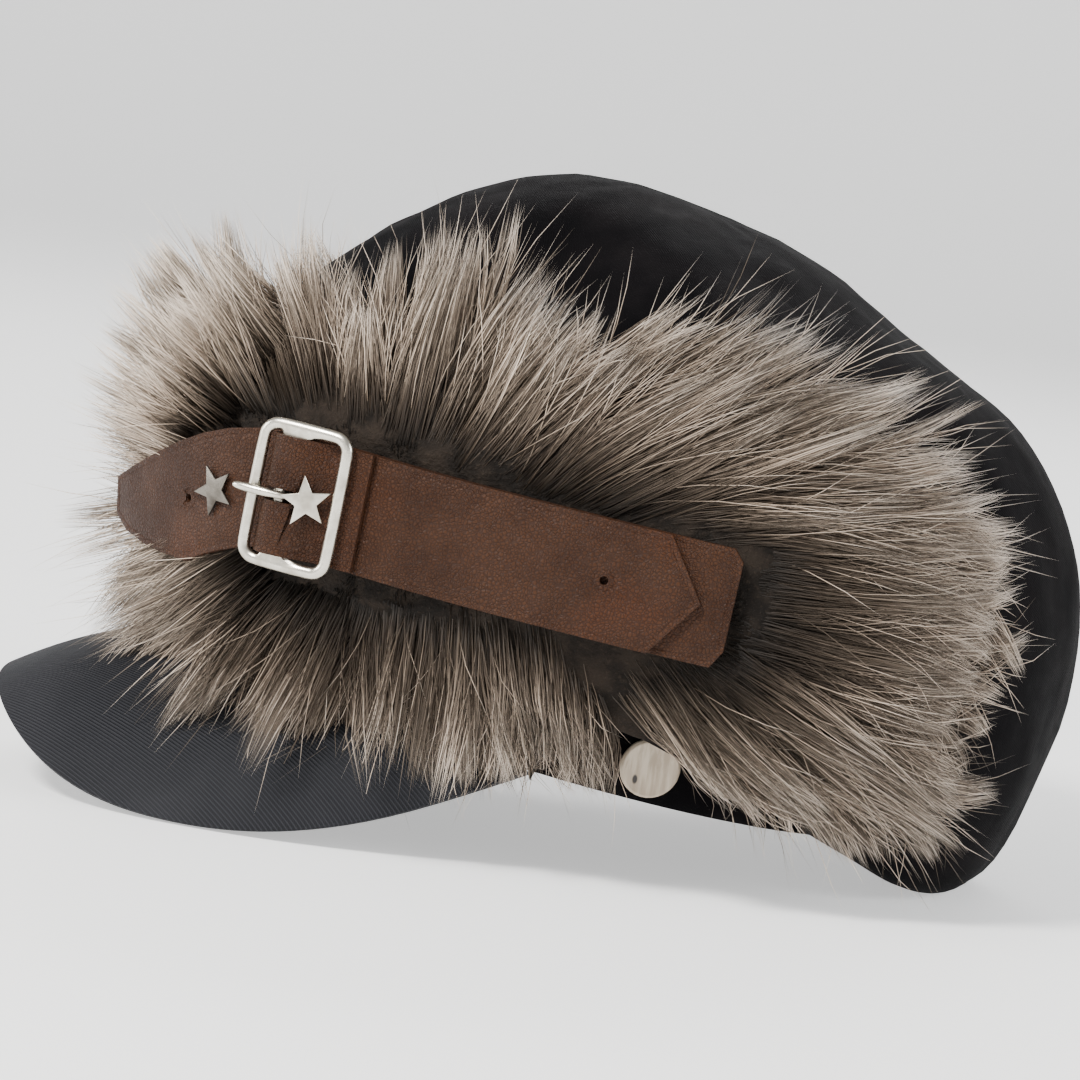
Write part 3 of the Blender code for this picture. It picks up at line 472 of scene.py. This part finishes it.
def make_crown():
    crown = copy_of("crown", "crown_cloth")
    shape(crown, "SUBSURF", levels=2, render_levels=2)
    low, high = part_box("head_band")
    noise.seed_set(CREASE_SEED)
    slope = (high.z - low.z - BAND_HEIGHT) / (high.x - low.x)
    for vert in crown.data.vertices:
        spot = vert.co
        rim = low.z + slope * (high.x - spot.x)
        free = min(max((spot.z - rim - STIFF_HEIGHT) / CREASE_FADE, 0.0), 1.0)
        slow = noise.noise_vector(spot * 24.0)
        quick = noise.noise_vector(Vector((spot.x * 75.0 + 9.0, spot.y * 75.0 + 4.0, spot.z * 40.0 + 1.0)))
        vert.co = spot + (slow * SLOW_CREASE + quick * QUICK_CREASE) * free
    dress(crown, crown_cloth())


def make_head_band():
    band = copy_of("head_band", "head_band_ribbon")
    shape(band, "BEVEL", width=0.5 * MM, segments=2, limit_method="ANGLE", angle_limit=math.radians(40))
    dress(band, band_cloth(), 35)


def make_peak():
    peak = copy_of("peak", "peak_cloth_cover")
    shape(peak, "BEVEL", width=0.9 * MM, segments=2, limit_method="ANGLE", angle_limit=math.radians(50))
    shape(peak, "SUBSURF", levels=2, render_levels=2)
    dress(peak, peak_cloth())


# Leather belt and its metal

def select_outside(made):
    """Selects the faces that look towards the cap's left side, away from the fur."""
    for polygon in made.data.polygons:
        polygon.select = polygon.normal.y < -0.4
    bpy.context.tool_settings.mesh_select_mode = (False, False, True)


def make_strap(node, name, finish):
    strap = copy_of(node, name)
    select_outside(strap)
    bpy.ops.object.mode_set(mode="EDIT")
    for thickness, depth in ((SKIVED_EDGE, 0.0), (GROOVE_SIDE, -GROOVE_DEPTH), (GROOVE_SIDE, GROOVE_DEPTH)):
        bpy.ops.mesh.inset(thickness=thickness, depth=depth, use_even_offset=False)
    bpy.ops.mesh.select_all(action="DESELECT")
    bpy.ops.object.mode_set(mode="OBJECT")
    shape(strap, "BEVEL", width=0.45 * MM, segments=3, limit_method="ANGLE", angle_limit=math.radians(50))
    dress(strap, finish, 40)


def make_metal(node, name, finish, levels):
    piece = copy_of(node, name)
    if levels:
        shape(piece, "SUBSURF", levels=levels, render_levels=levels)
        dress(piece, finish)
    else:
        shape(
            piece, "BEVEL", width=0.22 * MM, segments=2, limit_method="ANGLE", angle_limit=math.radians(12)
        )
        dress(piece, finish, 20)


def make_button():
    button = copy_of("side_button", "side_button_disc")
    shape(button, "BEVEL", width=0.35 * MM, segments=2, limit_method="ANGLE", angle_limit=math.radians(40))
    shape(button, "SUBSURF", levels=1, render_levels=1)
    dress(button, bone())


# Fur

def lock_of(tip):
    """A lock's vertices from its tip down to its middle ring; none if the tip isn't a lock's."""
    upper = {edge.other_vert(tip) for edge in tip.link_edges}
    middle = {edge.other_vert(vert) for vert in upper for edge in vert.link_edges} - upper - {tip}
    base = {edge.other_vert(vert) for vert in middle for edge in vert.link_edges} - middle - upper
    return {tip} | middle | upper if len(middle) == 4 and len(base) == 4 else set()


def cut_locks(bm):
    """Cuts the fur solid's locks off and closes its backing at their base."""
    gone = set()
    for vert in bm.verts:
        if len(vert.link_edges) == 4 and sum(loop.calc_angle() for loop in vert.link_loops) < SHARP_TIP:
            gone |= lock_of(vert)
    bmesh.ops.delete(bm, geom=list(gone), context="VERTS")
    open_edges = [edge for edge in bm.edges if edge.is_boundary]
    bmesh.ops.holes_fill(bm, edges=open_edges, sides=4)
    bmesh.ops.recalc_face_normals(bm, faces=bm.faces)


def sample_roots(bm, crown_tree, belt_tree, count, rng):
    """Random hair roots on the pelt's outside, clear of what the belt covers, with the way out there."""
    corners, areas, normals = [], [], []
    for face in bm.faces:
        middle = face.calc_center_median()
        near, out, _, _ = crown_tree.find_nearest(middle)
        if face.normal.dot(out) < 0.15 or (middle - near).length < LEAST_PELT:
            continue
        points = [vert.co for vert in face.verts]
        for k in range(1, len(points) - 1):
            corners.append((points[0], points[k], points[k + 1]))
            areas.append(((points[k] - points[0]).cross(points[k + 1] - points[0])).length / 2)
            normals.append(face.normal)
    corners = np.array([[list(point) for point in corner] for corner in corners])
    normals = np.array([list(normal) for normal in normals])
    areas = np.array(areas)
    roots, outs = [], []
    while len(roots) < count:
        pick = rng.choice(len(areas), size=count, p=areas / areas.sum())
        a, b = rng.random(count), rng.random(count)
        flip = a + b > 1
        a[flip], b[flip] = 1 - a[flip], 1 - b[flip]
        c = corners[pick]
        spots = c[:, 0] + (c[:, 1] - c[:, 0]) * a[:, None] + (c[:, 2] - c[:, 0]) * b[:, None]
        for spot, out in zip(spots, normals[pick]):
            if belt_tree.ray_cast(Vector(spot), Vector(out), BELT_GAP)[0] is None:
                roots.append(spot)
                outs.append(out)
    return np.array(roots[:count]), np.array(outs[:count])


def combed(roots, outs, rng):
    """Each root's path at the cap's front, as offsets at HAIR_STEPS: up or down from a parting."""
    level = outs * (1.0, 1.0, 0.0)
    level /= np.maximum(np.linalg.norm(level, axis=1, keepdims=True), 1e-6)
    jitter = rng.normal(0, PARTING_JITTER, len(roots))
    angle = np.radians(np.interp(roots[:, 2], COMB_HEIGHTS, COMB_DEGREES) + jitter)
    length = np.interp(roots[:, 2], COMB_HEIGHTS, COMB_LENGTHS) * rng.uniform(0.8, 1.15, len(roots))
    way = level * np.cos(angle)[:, None] + np.array((0.0, 0.0, 1.0)) * np.sin(angle)[:, None]
    steps = np.array(HAIR_STEPS)
    return (way * length[:, None])[:, None] * steps[None, :, None]


def streamed(roots, outs, rng):
    """Each root's path along the strokes that pass nearest, as offsets at HAIR_STEPS."""
    table = np.array(STROKES) * MM
    start, run = table[:, :2], table[:, 2:] - table[:, :2]
    run_length = np.linalg.norm(run, axis=1)
    course = run / run_length[:, None]
    spots = roots[:, (0, 2)]
    along = np.einsum("nsc,sc->ns", spots[:, None] - start[None], course)
    nearest = start[None] + course[None] * np.clip(along, 0.0, run_length[None])[:, :, None]
    weight = 1.0 / (np.linalg.norm(spots[:, None] - nearest, axis=2) + 2.5 * MM) ** 5
    weight /= weight.sum(axis=1, keepdims=True)
    flat = weight @ course
    flat /= np.maximum(np.linalg.norm(flat, axis=1, keepdims=True), 0.2)
    left = (weight * np.maximum(run_length[None] - along, 0.0)).sum(axis=1)
    longest = LONGEST_HAIR * rng.uniform(0.65, 1.0, len(roots))
    length = np.clip(left * rng.uniform(0.8, 1.0, len(roots)), SHORTEST_HAIR, longest)
    length *= np.where(outs[:, 1] > 0.0, RIGHT_SIDE_LENGTH, 1.0)
    out_x, out_y, out_z = outs.T
    out_y = np.where(np.abs(out_y) < LEAST_SIDEWAYS, LEAST_SIDEWAYS * np.sign(out_y), out_y)
    inwards = np.clip(-0.6 * (flat[:, 0] * out_x + flat[:, 1] * out_z) / out_y, -0.6, 0.6)
    way = np.stack((flat[:, 0], inwards, flat[:, 1]), axis=1)
    lift = rng.uniform(LEAST_LIFT, MOST_LIFT, len(roots))
    steps = np.array(HAIR_STEPS)
    rise = steps * (1.0 - 0.45 * steps)
    return (
        (way * length[:, None])[:, None] * steps[None, :, None]
        + (outs * lift[:, None])[:, None] * rise[None, :, None]
    )


def gather(roots, offsets, clump_roots, clump_offsets, loose):
    """Hair points: each hair's own path, drawn towards its clump's, but not if it is a loose hair."""
    tree = KDTree(len(clump_roots))
    for index, root in enumerate(clump_roots):
        tree.insert(root, index)
    tree.balance()
    nearest = np.array([tree.find(root)[1] for root in roots])
    own = roots[:, None] + offsets
    shared = clump_roots[nearest][:, None] + clump_offsets[nearest]
    pull = np.array(CLUMP_PULL)[None, :, None] * np.where(loose, 0.0, 1.0)[:, None, None]
    return own + (shared - own) * pull, nearest


def drape(spot, side, crown_tree, gap):
    """Lays a point of a hair on the cap's side at a gap over the crown, if the crown is behind it."""
    inwards = Vector((0.0, -side, 0.0))
    near, out, _, _ = crown_tree.ray_cast(Vector((spot.x, side * 0.25, spot.z)), inwards, 0.25)
    if near is not None and near.y * side > 0.02:
        level = near.y + side * gap / max(abs(out.y), 0.45)
        spot.y += (level - spot.y) * DRAPE_SHARE


def in_head_room(spot):
    low, high = HEAD_ROOM
    return all(low[axis] < spot[axis] < high[axis] for axis in range(3))


def over_belt(spot, belt_tree):
    """Whether a point on the left hides the belt, the buckle or the button in the picture."""
    start = spot - INTO_BELT * 2 * MM
    return spot.y < -0.03 and belt_tree.ray_cast(start, INTO_BELT, BELT_REACH)[0] is not None


def keep_clear(points, outs, crown_tree, peak_tree, belt_tree, rng):
    """Lays hairs over the crown and the peak, and drops those in the head's room or over the belt."""
    kept = np.ones(len(points), bool)
    stray = rng.random(len(points)) < STRAY_SHARE
    gaps = rng.uniform(0.0, 1.0, len(points))
    for index, hair_points in enumerate(points):
        side = math.copysign(1.0, outs[index][1])
        fluff = LEFT_FLUFF if side < 0 else RIGHT_FLUFF
        for k in range(1, len(hair_points)):
            spot = Vector(hair_points[k])
            if abs(outs[index][1]) > 0.5:
                rise = (DRAPE_RISE + fluff * gaps[index]) * k / len(hair_points)
                drape(spot, side, crown_tree, DRAPE_HEIGHT + rise)
            for tree, margin in ((crown_tree, CROWN_MARGIN), (peak_tree, PEAK_MARGIN)):
                near, out, _, _ = tree.find_nearest(spot, 60 * MM)
                if near is not None and (spot - near).dot(out) < margin:
                    spot = near + out * (margin + MARGIN_SPREAD * gaps[index])
            spot.z = max(spot.z, FLOOR_MARGIN)
            hair_points[k] = spot
            if in_head_room(spot) or (not stray[index] and over_belt(spot, belt_tree)):
                kept[index] = False
                break
    return kept


def hair_mesh(points, radii, tones):
    """Vertices, faces and map places of thin, closed, three-sided hairs that taper to their tips."""
    count, steps = points.shape[:2]
    along = points[:, -1] - points[:, 0]
    along /= np.linalg.norm(along, axis=1, keepdims=True)
    side = np.cross(along, (0.31, 0.22, 0.92))
    side /= np.linalg.norm(side, axis=1, keepdims=True)
    other = np.cross(along, side)
    rings = steps - 1
    per_hair = rings * 3 + 1
    verts = np.zeros((count, per_hair, 3))
    places = np.zeros((count, per_hair, 2))
    share = np.linspace(1.0, 0.45, rings)
    for ring in range(rings):
        for corner in range(3):
            turn = 2 * math.pi * corner / 3
            around = side * math.cos(turn) + other * math.sin(turn)
            verts[:, ring * 3 + corner] = points[:, ring] + around * (radii * share[ring])[:, None]
            places[:, ring * 3 + corner, 0] = tones * 0.97 + 0.012 * corner
            places[:, ring * 3 + corner, 1] = ring / rings
    verts[:, -1] = points[:, -1]
    places[:, -1, 0] = tones * 0.97 + 0.012
    places[:, -1, 1] = 1.0
    pattern = [(2, 1, 0)]
    for ring in range(rings - 1):
        for corner in range(3):
            a, b = ring * 3 + corner, ring * 3 + (corner + 1) % 3
            pattern += [(a, b, b + 3), (a, b + 3, a + 3)]
    last = (rings - 1) * 3
    pattern += [(last + corner, last + (corner + 1) % 3, per_hair - 1) for corner in range(3)]
    faces = np.array(pattern)[None] + (np.arange(count) * per_hair)[:, None, None]
    return verts.reshape(-1, 3), faces.reshape(-1, 3), places.reshape(-1, 2)


def join_hairs(name, groups, finish):
    """Makes one object from several groups of hairs."""
    verts, faces, places, start = [], [], [], 0
    for group in groups:
        made_verts, made_faces, made_places = hair_mesh(*group)
        verts.append(made_verts)
        faces.append(made_faces + start)
        places.append(made_places)
        start += len(made_verts)
    verts, faces, places = np.concatenate(verts), np.concatenate(faces), np.concatenate(places)
    mesh = bpy.data.meshes.new(name)
    mesh.vertices.add(len(verts))
    mesh.vertices.foreach_set("co", verts.astype(np.float32).ravel())
    mesh.loops.add(faces.size)
    mesh.loops.foreach_set("vertex_index", faces.astype(np.int32).ravel())
    mesh.polygons.add(len(faces))
    mesh.polygons.foreach_set("loop_start", np.arange(0, faces.size, 3, dtype=np.int32))
    mesh.update(calc_edges=True)
    spots = mesh.uv_layers.new(name="OFBake")
    spots.data.foreach_set("uv", places[faces.ravel()].astype(np.float32).ravel())
    made = bpy.data.objects.new(name, mesh)
    bpy.context.scene.collection.objects.link(made)
    dress(made, finish)


def make_pelt():
    """The fur's backing without its locks; returns its surface before it is rounded, to root hairs in."""
    backing = copy_of("fur_trim", "fur_pelt", 20.0, 40.0)
    surface = bmesh.new()
    surface.from_mesh(backing.data)
    cut_locks(surface)
    surface.to_mesh(backing.data)
    shape(backing, "SUBSURF", levels=2, render_levels=2)
    dress(backing, pelt())
    return surface


def hair_paths(roots, outs, guard, loose, rng):
    """Each hair's points from under its root to its tip, with its clump's number and the clumps' roots."""
    count = len(roots)
    on_side = np.clip((np.abs(outs[:, 1]) - 0.2) / 0.3, 0.0, 1.0)
    share = on_side[:, None, None]
    offsets = combed(roots, outs, rng) * (1.0 - share) + streamed(roots, outs, rng) * share
    steps = np.array(HAIR_STEPS)[None, :, None]
    aside = np.cross(offsets[:, -1], outs)
    aside /= np.maximum(np.linalg.norm(aside, axis=1, keepdims=True), 1e-6)

    clump_index = rng.choice(count, CLUMPS, replace=False)
    bend = aside[clump_index] * rng.normal(0, CLUMP_BEND, CLUMPS)[:, None]
    wander = rng.normal(0, CLUMP_WANDER, (CLUMPS, 3))
    clump_offsets = offsets[clump_index] * rng.uniform(0.88, 1.06, CLUMPS)[:, None, None]
    clump_offsets += bend[:, None] * steps ** 2 + wander[:, None] * steps

    length = np.where(guard, rng.uniform(0.8, 1.08, count), rng.uniform(0.4, 0.8, count))
    curl = np.where(loose, LOOSE_CURL, CURL) * (0.5 + 0.5 * on_side)
    own = offsets * length[:, None, None]
    sway = np.clip(rng.normal(0, 1, count), -2.0, 2.0) * curl
    own += (aside * sway[:, None])[:, None] * steps ** 2
    spread = np.clip(rng.normal(0, 1, (count, 3)), -2.0, 2.0) * (curl * 0.7)[:, None]
    own += spread[:, None] * steps
    bodies, nearest = gather(roots, own, roots[clump_index], clump_offsets, loose)
    points = np.concatenate((roots[:, None] - outs[:, None] * ROOT_DEPTH, bodies), axis=1)
    return points, nearest, roots[clump_index]


def hair_tones(roots, guard, loose, nearest, clump_roots, rng):
    """Each hair's tone: light or dark by its clump, lighter higher up and towards the back as painted
    light, and dark in the undercoat.
    """
    count = len(roots)
    clump_tone = np.array([noise.noise(Vector(root) * 22.0) for root in clump_roots]) * 0.6
    clump_tone += rng.uniform(-0.3, 0.3, CLUMPS)
    # Painted light: hairs are made lighter higher up and towards the back, and darker low down, on top of
    # their own mix of light and dark hairs.
    painted_light_by_height = np.clip((roots[:, 2] - 95 * MM) / (15 * MM), -1.0, 1.0)
    painted_light_towards_back = np.clip(roots[:, 0] / (50 * MM), 0.0, 1.0)
    light_share = LIGHT_SHARE + clump_tone[nearest] + 0.25 * loose + 0.12 * painted_light_by_height + 0.1 * painted_light_towards_back
    light = rng.random(count) < light_share
    tones = np.where(light, rng.uniform(0.6, 1.0, count), rng.uniform(0.0, 0.25, count))
    return np.clip(tones * np.where(guard, 1.0, 0.35), 0.0, 1.0)


def share_out(roots, load):
    """The piece that each hair goes into, round the cap from right to left, with even triangle counts."""
    parts = len(FUR_PART_NAMES)
    turn = np.arctan2(roots[:, 1], -(roots[:, 0] - BAND_CENTRE_X))
    order = np.argsort(-turn)
    part = np.zeros(len(roots), int)
    part[order] = np.minimum(np.cumsum(load[order]) * parts // (load.sum() + 1), parts - 1)
    return part


def make_fur():
    rng = np.random.default_rng(11)
    crown_tree, peak_tree = tree_of("crown"), tree_of("peak")
    belt_tree = tree_of("belt_lower", "belt_upper", "buckle_frame", "side_button")
    surface = make_pelt()
    count = GUARD_HAIRS + UNDER_HAIRS
    roots, outs = sample_roots(surface, crown_tree, belt_tree, count, rng)
    surface.free()

    guard = np.arange(count) < GUARD_HAIRS
    loose = guard & (rng.random(count) < LOOSE_SHARE)
    points, nearest, clump_roots = hair_paths(roots, outs, guard, loose, rng)
    kept = keep_clear(points, outs, crown_tree, peak_tree, belt_tree, rng)
    tones = hair_tones(roots, guard, loose, nearest, clump_roots, rng)
    radii = np.where(guard, GUARD_RADIUS, UNDER_RADIUS) * rng.uniform(0.75, 1.25, count)

    part = share_out(roots, np.where(guard, GUARD_TRIANGLES, UNDER_TRIANGLES) * kept)
    finish = hair()
    for index, name in enumerate(FUR_PART_NAMES):
        own_part = kept & (part == index)
        long_hairs, short_hairs = own_part & guard, own_part & ~guard
        join_hairs(name, (
            (points[long_hairs], radii[long_hairs], tones[long_hairs]),
            (points[short_hairs][:, (0, 2, 4)], radii[short_hairs], tones[short_hairs]),
        ), finish)


# Stage

def make_floor():
    bpy.ops.object.select_all(action="DESELECT")
    bpy.ops.mesh.primitive_circle_add(vertices=96, radius=3.0, fill_type="NGON")
    floor = bpy.context.object
    floor.name = "floor"
    bpy.ops.object.mode_set(mode="EDIT")
    bpy.ops.mesh.select_all(action="SELECT")
    bpy.ops.mesh.select_mode(type="EDGE")
    bpy.ops.mesh.region_to_loop()
    for rise, grow in ((0.06, 1.12), (0.2, 1.1), (0.4, 1.06), (0.7, 1.03)):
        bpy.ops.mesh.extrude_region_move(TRANSFORM_OT_translate={"value": (0, 0, rise)})
        bpy.ops.transform.resize(value=(grow, grow, 1), center_override=(0, 0, 0))
    bpy.ops.object.mode_set(mode="OBJECT")
    floor.data.materials.append(plain_floor())
    select_only(floor)
    bpy.ops.object.shade_smooth()


def view_axes():
    """Directions to the right, up and towards the camera at the photograph's angle, with its roll."""
    azimuth, elevation, roll = (math.radians(a) for a in (VIEW_AZIMUTH, VIEW_ELEVATION, VIEW_ROLL))
    level = Vector((-math.sin(azimuth), -math.cos(azimuth), 0.0))
    back = level * math.cos(elevation) + Vector((0.0, 0.0, math.sin(elevation)))
    right = Vector((math.cos(azimuth), -math.sin(azimuth), 0.0))
    up = back.cross(right)
    return right * math.cos(roll) + up * math.sin(roll), up * math.cos(roll) - right * math.sin(roll), back


def make_camera():
    right, up, back = view_axes()
    lens = bpy.data.cameras.new("camera")
    lens.sensor_width = SENSOR_MM
    lens.lens = SENSOR_MM * VIEW_DISTANCE / (MM_PER_PIXEL * MM * PICTURE_PIXELS)
    lens.shift_x = (PICTURE_PIXELS / 2 - TARGET_PIXEL[0]) / PICTURE_PIXELS
    lens.shift_y = (TARGET_PIXEL[1] - PICTURE_PIXELS / 2) / PICTURE_PIXELS
    camera = bpy.data.objects.new("camera", lens)
    turn = Matrix((right, up, back)).transposed().to_4x4()
    turn.translation = VIEW_TARGET + back * VIEW_DISTANCE
    camera.matrix_world = turn
    bpy.context.scene.collection.objects.link(camera)
    bpy.context.scene.camera = camera


def make_light(name, place, size, energy, colour):
    lamp = bpy.data.lights.new(name, "AREA")
    lamp.shape = "RECTANGLE"
    lamp.size, lamp.size_y = size
    lamp.energy = energy
    lamp.color = colour
    made = bpy.data.objects.new(name, lamp)
    spot = Vector(place)
    turn = (spot - VIEW_TARGET).to_track_quat("Z", "Y").to_matrix().to_4x4()
    turn.translation = spot
    made.matrix_world = turn
    bpy.context.scene.collection.objects.link(made)


def make_lights():
    for light in LIGHTS:
        make_light(*light)
    world = bpy.data.worlds.new("studio")
    world.use_nodes = True
    sky = world.node_tree.nodes["Background"]
    sky.inputs["Color"].default_value = SKY_COLOUR
    sky.inputs["Strength"].default_value = SKY_STRENGTH
    bpy.context.scene.world = world


make_floor()
make_camera()
make_lights()
make_crown()
make_head_band()
make_peak()
belt_leather = leather(
    "brown_leather", dark=(0.029, 0.0112, 0.0048), mid=(0.043, 0.0168, 0.007), warm=(0.055, 0.0185, 0.007),
    gloss=0.38,
)
make_strap("belt_lower", "belt_lower_leather", belt_leather)
make_strap("belt_upper", "belt_upper_leather", belt_leather)
metal = nickel("pale_nickel", bright=(0.66, 0.625, 0.54), dull=(0.42, 0.385, 0.32))
# Painted shade: a darker copy of the same nickel, for the star stud on the belt's tip, which lies in shade.
shaded_nickel_copy = nickel("nickel_painted_shade", bright=(0.15, 0.137, 0.118), dull=(0.05, 0.043, 0.036))
make_metal("buckle_frame", "buckle_frame_wire", metal, 2)
make_metal("buckle_prong", "buckle_prong_wire", metal, 2)
make_metal("star_stud_buckle", "star_stud_buckle_cast", metal, 0)
make_metal("star_stud_tip", "star_stud_tip_cast", shaded_nickel_copy, 0)
make_button()
make_fur()
